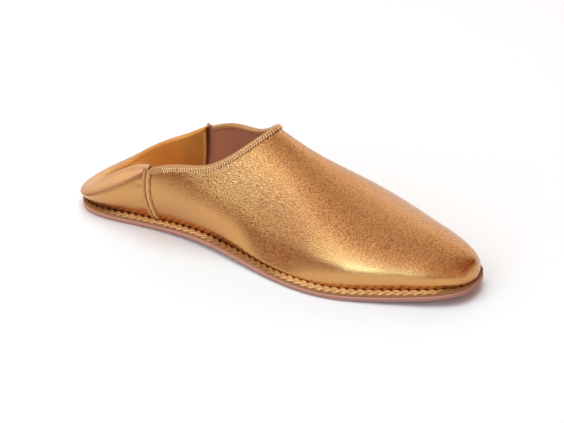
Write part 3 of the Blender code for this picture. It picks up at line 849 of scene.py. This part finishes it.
# collar's edge from right seam over the throat to left seam: path, outward, down, run
def collarFrame():
    s, throat = bindingSet, shoe["throatAt"]
    ways = np.linspace(0, throat / 2, 200)
    start = np.interp(s["start"], runOf(vamp(ways, collarShare(ways))), ways)
    ways = start + (throat - start) * crowded(s["columns"], s["crowd"])
    kept, nudge = collarShare(ways), 1e-4
    edge = vamp(ways, kept)
    outward = unit(np.cross(edge - vamp(ways, kept - nudge), vamp(ways + nudge, kept) - edge))
    path = np.concatenate([placed(edge, -1), placed(edge[::-1][1:], 1)])
    outward = np.concatenate([outward * (1 - 2 * sideways), outward[::-1][1:]])
    along = unit(np.gradient(path, axis=0))
    outward = unit(outward - along * np.sum(outward * along, -1)[:, None])
    return path, outward, np.cross(along, outward), runOf(path)


def onBand(band, run, downBy, outBy):   # point beside the collar's edge: edge + down by + outward by
    path, outward, down = (readAlong(run, band[3], part) for part in band[:3])
    return path + down * downBy[..., None] + outward * outBy[..., None], outward


# points of a solid whose section, as distances along two directions, follows the path
def sweep(path, first, second, section):
    return np.stack([path + first * a + second * b for a, b in section], 1)


def makeBinding():
    s = bindingSet
    band = collarFrame()
    near, far, wall = s["clear"] * 0.5, s["clear"] + s["thick"], shoe["wall"]
    outer = [(far + s["dome"] * np.sin(np.pi * k) - s["hemIn"] * (k == 0),
              s["outside"] * (1 - k) + s["hem"] * k) for k in np.linspace(0, 1, 9)]
    over = [(-wall / 2 + (wall / 2 + far) * np.cos(k), -far * np.sin(k)) for k in np.linspace(0, np.pi, 13)]
    inner = [(-wall - far - 0.5 * s["dome"] * np.sin(np.pi * k), s["inside"] * k)
             for k in np.linspace(0.1, 1, 6)]
    under = [(-wall - near, s["inside"]), (-wall - near, -near), (near, -near), (near, s["outside"])]
    points = sweep(*band[:3], outer + over + inner + under)
    rows, run, total = points.shape[1], band[3], band[3][-1]
    stitched = climb(np.minimum(run, total - run), s["smoothRun"], s["smoothRun"])**s["shadePower"]
    gaps = np.array([s["gapShade"]] * (len(outer) - 1) + [s["topShade"]] + [0.0] * (rows - len(outer)))
    strip = makePiece("bindingBand", [makeThread("bandLeather", bandLook)], "binding_leather",
                      points.reshape(-1, 3), solidFaces(len(run), rows),
                      (stitched[:, None] * gaps).reshape(-1), s["sharp"])
    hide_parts("collar_binding")
    draws = np.random.default_rng(7)
    at = np.arange(s["smoothRun"], total - s["smoothRun"], s["pitch"])
    n = len(at)
    at = at + draws.uniform(-s["jitter"], s["jitter"], n) * s["pitch"]
    surface = far + s["dome"] * 0.6 + s["threadHigh"] * s["sunk"]
    t = steps(s["threadSteps"])[None, :]
    stitchRows = []   # start on the run, run covered, first and last distance below the edge
    for row, (top, bottom) in enumerate(((s["rowTop"], s["rowMiddle"]), (s["rowMiddle"], s["rowLow"]))):
        lean = (1 - 2 * row) * s["lean"] * s["pitch"]
        ends = [end + draws.uniform(-s["ragged"], s["ragged"], n) for end in (top, bottom)]
        stitchRows.append((at - row * lean, lean, *ends))
    parts = []
    for begin, lean, top, bottom in stitchRows:
        downs, outs = top[:, None] + (bottom - top)[:, None] * t, surface + s["arch"] * np.sin(np.pi * t)
        lines, outward = onBand(band, begin[:, None] + lean * t, downs, outs)
        parts.append(laidThreads(lines, outward, s, draws.uniform(0, 0.35, n), 6, s["twist"], s["turns"]))
    # ends of thread that reach past the band onto the leather
    pick = draws.uniform(0, 1, n) < s["pointShare"]
    reach = draws.uniform(s["pointMin"], s["pointMax"], n)[pick][:, None]
    swing = draws.uniform(-1, 1, pick.sum())[:, None]
    runs = at[pick][:, None] - s["pointLean"] * s["pitch"] * t * swing
    downs = s["rowLow"] - s["pointFrom"] + (reach + s["pointFrom"]) * t
    high = surface * (1 - climb(downs, s["outside"], s["dropOver"])) + 0.0001
    high = np.minimum(high, np.where(downs < s["outside"] + 0.0001, surface, 0.00022))
    lines, outward = onBand(band, runs, downs, np.maximum(high, s["onLeather"]))
    parts.append(laidThreads(lines, outward, s, draws.uniform(0, 0.5, pick.sum())))
    stitches = makePiece("bindingStitches", [stitchThread], "binding_leather", *joined(parts))
    print("binding:", n, "stitches,", len(stitches.data.polygons), "faces")


makeBinding()


# ---- side seams
seamSet = dict(
    width=0.0058, height=0.0012, foot=0.0014, bow=0.0010, rows=70, overTop=0.0012,
    overRise=(0.93, 0.07), wave=0.0002, waves=5.5, wavePhase=0.7, columns=37, groove=0.12, floor=0.00012,
    backRoll=(0.9, -0.60, 0.40), frontRoll=(1.0, 0.50, 0.50), darkAt=-0.12, darkWide=0.11, sharp=60,
    bead=0.00150, beadEnd=0.001, threadWide=0.00048, threadHigh=0.00055, beadLong=0.0011, beadSlant=0.5,
    beadOut=0.86, beadAt=0.52, beadSunk=0.2, beadDip=0.0004, threadSteps=6,
)
seamLook = dict(
    colour=(0.68, 0.38, 0.14), other=(0.60, 0.32, 0.11), deep=(0.36, 0.15, 0.04),
    dull=(0.26, 0.095, 0.02), valley=0.35, cells=900.0, bump=0.25, rough=0.38, metal=0.7, toneSize=80.0)


def roll(c, high, at, half):   # half ellipse: high sqrt(1 - ((c - at) / half)^2)
    return high * np.sqrt(np.clip(1 - ((c - at) / half)**2, 0, 1))


# two rolls side by side up the wall's seam column, whichever is higher, and a row of beads on one
def makeSeam(name, side, node):
    s = seamSet
    rib = np.linspace(s["foot"] / shoe["sideHeight"], 1, s["rows"])
    way = 1 - s["bow"] / (shoe["seamShare"] * halfRun) * np.sin(np.pi * rib)
    path = placed(heelWall(way, rib), side)
    before = placed(heelWall(way - 1e-4, rib), side)
    run = unit(np.gradient(path, axis=0))
    outward = unit(np.cross(run, path - before)) * side
    across = np.cross(outward, run) * side        # towards the toe
    path = path + run * (s["overTop"] * climb(rib, *s["overRise"])**2)[:, None]
    wave = s["wave"] * np.sin(rib * 2 * np.pi * s["waves"] + s["wavePhase"])
    half = s["width"] / 2
    c = np.linspace(1, -1, s["columns"])
    high = np.maximum(roll(c, *s["backRoll"]), roll(c, *s["frontRoll"]))
    high = s["height"] * np.maximum(high, s["groove"] * (np.abs(c) < 0.6)) + s["floor"]
    over = sweep(path + across * wave[:, None], outward, across, zip(high, half * c))
    under = sweep(path, outward, across, [(shoe["gap"] * 0.3, -half), (shoe["gap"] * 0.3, half)])
    points = np.concatenate([under, over], 1)
    # painted shade: the groove between the two rolls darkened through the shade value
    dark = np.tile(np.r_[0, 0, mound(c - s["darkAt"], s["darkWide"])], len(path))
    rolls = makePiece(name, [seamLeather], "seam_leather", points.reshape(-1, 3),
                      solidFaces(*points.shape[:2]), dark, s["sharp"])
    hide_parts(node)
    runs = runOf(path)
    at = np.arange(s["bead"], runs[-1] - s["beadEnd"], s["bead"])
    t = steps(s["threadSteps"])[None, :, None] - 0.5
    middle, out, cross, along = (readAlong(at, runs, part)[:, None] for part in (path, outward, across, run))
    middle = middle + cross * (half * s["beadAt"] + np.interp(at, runs, wave)[:, None, None]) \
        + out * (s["height"] * s["beadOut"] + s["threadHigh"] * s["beadSunk"])
    lay = s["beadLong"] * t * (along + s["beadSlant"] * cross) - out * s["beadDip"] * (2 * t)**2
    shades = np.random.default_rng(5 + side).uniform(0, 0.3, len(at))
    makePiece(name + "Beads", [stitchThread], "seam_leather", *laidThreads(middle + lay, out, s, shades, 7))


seamLeather = makeThread("seamLeather", seamLook)
makeSeam("seamRollsRight", -1, "side_seam_right")
makeSeam("seamRollsLeft", 1, "side_seam_left")
print("side seams made")


# ---- stitches on the free edges of the folded heel
flapStitchSet = dict(
    pitch=0.0016, wide=0.0019, inset=0.0003, threadWide=0.00019, threadHigh=0.00017, over=0.0002,
    arch=0.00012, reach=0.93, first=0.0012, last=0.001, inward=0.985, ahead=0.0005, threadSteps=6)


# zigzag down the flap's edge: on the face, across by a triangle wave of the run
def makeFlapStitches():
    s = flapStitchSet
    parts = []
    for side in (-1, 1):
        fall = np.linspace(0, s["reach"], 80)
        edge, inner = placed(heelFold(np.array([1.0, s["inward"]]), [], [np.pi / 2], fall)[:, 1:], side)
        run = runOf(edge)
        at = np.arange(s["first"], run[-1] - s["last"], s["pitch"] / 2)
        start = readAlong(at, run, edge)
        onto = unit(readAlong(at, run, inner) - start)
        down = unit(readAlong(at + s["ahead"], run, edge) - start)
        face = unit(np.cross(onto, down)) * side
        t = steps(s["threadSteps"])[None, :]
        odd = (np.arange(len(at)) % 2)[:, None]
        line = start[:, None] + onto[:, None] * (s["wide"] * np.where(odd, 1 - t, t) + s["inset"])[..., None]
        line = line + down[:, None] * (s["pitch"] / 2 * t)[..., None]
        line = line + face[:, None] * (s["over"] + s["arch"] * np.sin(np.pi * t))[..., None]
        shades = np.random.default_rng(30 + side).uniform(0.2, 0.6, len(at))
        parts.append(laidThreads(line, face[:, None], s, shades))
    makePiece("flapStitches", [stitchThread], "upper_leather", *joined(parts))


makeFlapStitches()
print("flap stitches made")


# ---- floor, light and camera
floorSet = dict(size=6.0, below=0.0001, rough=0.9, colour=(0.95, 0.95, 0.95), paintedReflection=(0.20, 0.05, 0.01),
                dimFrom=0.05, dimTo=0.12, slant=0.8)


# pale floor; only glossy rays see it turn a dim orange in front of the shoe, past a slanted line: a painted
# reflection for the leather
def makeFloor():
    s = floorSet
    mesh = bpy.data.meshes.new("floor")
    corners = [(-1, -1), (1, -1), (1, 1), (-1, 1)]
    mesh.from_pydata([(x * s["size"], y * s["size"], -s["below"]) for x, y in corners], [], [(0, 1, 2, 3)])
    floor = addObject("floor", mesh)
    paint, tree, shader = newMaterial("paleFloor")
    place = addNode(tree, "ShaderNodeTexCoord").outputs["Object"]
    parts = addNode(tree, "ShaderNodeSeparateXYZ", Vector=place).outputs
    slanted = math(tree, "ADD", parts["Y"], math(tree, "MULTIPLY", parts["X"], s["slant"]))
    past = remap(tree, slanted, -s["dimFrom"], -s["dimTo"])
    # painted reflection: the dim colour is shown to glossy rays alone
    seen = addNode(tree, "ShaderNodeLightPath").outputs["Is Glossy Ray"]
    colour = mixColour(tree, math(tree, "MULTIPLY", past, seen), s["colour"], s["paintedReflection"])
    setNode(tree, shader, Base_Color=colour, Roughness=s["rough"])
    mesh.materials.append(paint)


worldColour = (0.32, 0.075, 0.01)
panels = [
    # name, centre, looks at, size in metres, watts, colour, whether it shows in gloss
    ("frontPanel", (-0.72, -1.45, 0.98), (-0.72, 0, 0.12), (2.5, 1.15), 9.2, (0.70, 0.86, 1.0), True),
    ("keyPanel", (0.07, -1.30, 0.77), (0.07, 0, 0.0), (0.95, 0.60), 1.1, (0.70, 0.90, 1.0), True),
    ("canopyPanel", (-0.50, -1.15, 1.80), (-0.50, 0, 0.0), (2.0, 1.1), 7.1, (0.78, 0.90, 1.0), True),
    ("overheadPanel", (0.3, 0.35, 2.1), (0.1, 0, 0.0), (2.2, 1.4), 7.2, (0.70, 0.95, 1.0), True),
    ("lowPanel", (-0.30, -1.50, 0.395), (0.12, 0, 0.02), (1.9, 0.33), 5.2, (0.52, 0.80, 1.0), True),
    ("streakPanel", (0.26, -1.99, 0.30), (0.12, 0, 0.02), (0.74, 0.50), 3.9, (0.40, 0.76, 1.0), True),
    ("rightPanel", (1.32, -1.12, 0.80), (0.2, 0, 0.02), (1.7, 1.2), 3.4, (0.85, 0.90, 1.0), True),
    ("leftPanel", (-1.35, -0.15, 0.62), (0.0, 0, 0.03), (1.6, 1.2), 6.2, (0.85, 0.93, 1.0), True),
    ("backPanel", (-0.5, 1.6, 0.90), (-0.2, 0, 0.1), (3.0, 1.8), 20.0, (0.80, 0.92, 0.98), True),
    ("fillPanel", (0.1, 0.0, 1.1), (0.1, 0, 0.0), (0.7, 0.7), 6.1, (0.68, 0.98, 1.0), False),
]


def makeLights():
    world = bpy.data.worlds.new("studio")
    bpy.context.scene.world = world
    world.use_nodes = True
    setNode(world.node_tree, world.node_tree.nodes["Background"], Color=worldColour)
    for name, centre, target, size, watts, colour, glossy in panels:
        light = bpy.data.lights.new(name, "AREA")
        light.shape = "RECTANGLE"
        light.size, light.size_y = size
        light.size, light.size_y = size
        light.energy = watts
        light.color = colour
        lamp = addObject(name, light)
        lamp.location = centre
        lamp.rotation_euler = (Vector(target) - Vector(centre)).to_track_quat("-Z", "Y").to_euler()
        lamp.visible_glossy = glossy


view = dict(azimuth=34.8, elevation=28.0, roll=-4.0, distance=0.9, target=(0.10, 0.0, 0.02), focal=1575.5,
            centre=(269.1, 203.6), frame=(564, 423), sensor=36.0, clipEnd=50)


# right and up axes turned by the roll; the photo's centre offset is a small shift
def makeCamera():
    az, el, roll = (np.radians(view[k]) for k in ("azimuth", "elevation", "roll"))
    back = np.array([np.sin(az) * np.cos(el), -np.cos(az) * np.cos(el), np.sin(el)])
    right = np.array([np.cos(az), np.sin(az), 0.0])
    turnedRight = right * np.cos(roll) + np.cross(back, right) * np.sin(roll)
    turnedTop = np.cross(back, turnedRight)
    wide, high = view["frame"]
    lens = bpy.data.cameras.new("camera")
    lens.sensor_width = view["sensor"]
    lens.lens = view["focal"] * view["sensor"] / wide
    lens.shift_x = (wide / 2 - view["centre"][0]) / wide
    lens.shift_y = (view["centre"][1] - high / 2) / wide
    lens.clip_end = view["clipEnd"]
    camera = addObject("camera", lens)
    at = np.array(view["target"]) + back * view["distance"]
    turn = Matrix([[turnedRight[i], turnedTop[i], back[i], at[i]] for i in range(3)] + [[0, 0, 0, 1]])
    camera.matrix_world = turn
    bpy.context.scene.camera = camera


makeFloor()
makeLights()
makeCamera()
bpy.context.scene.view_settings.view_transform = "Standard"
print("stage made")
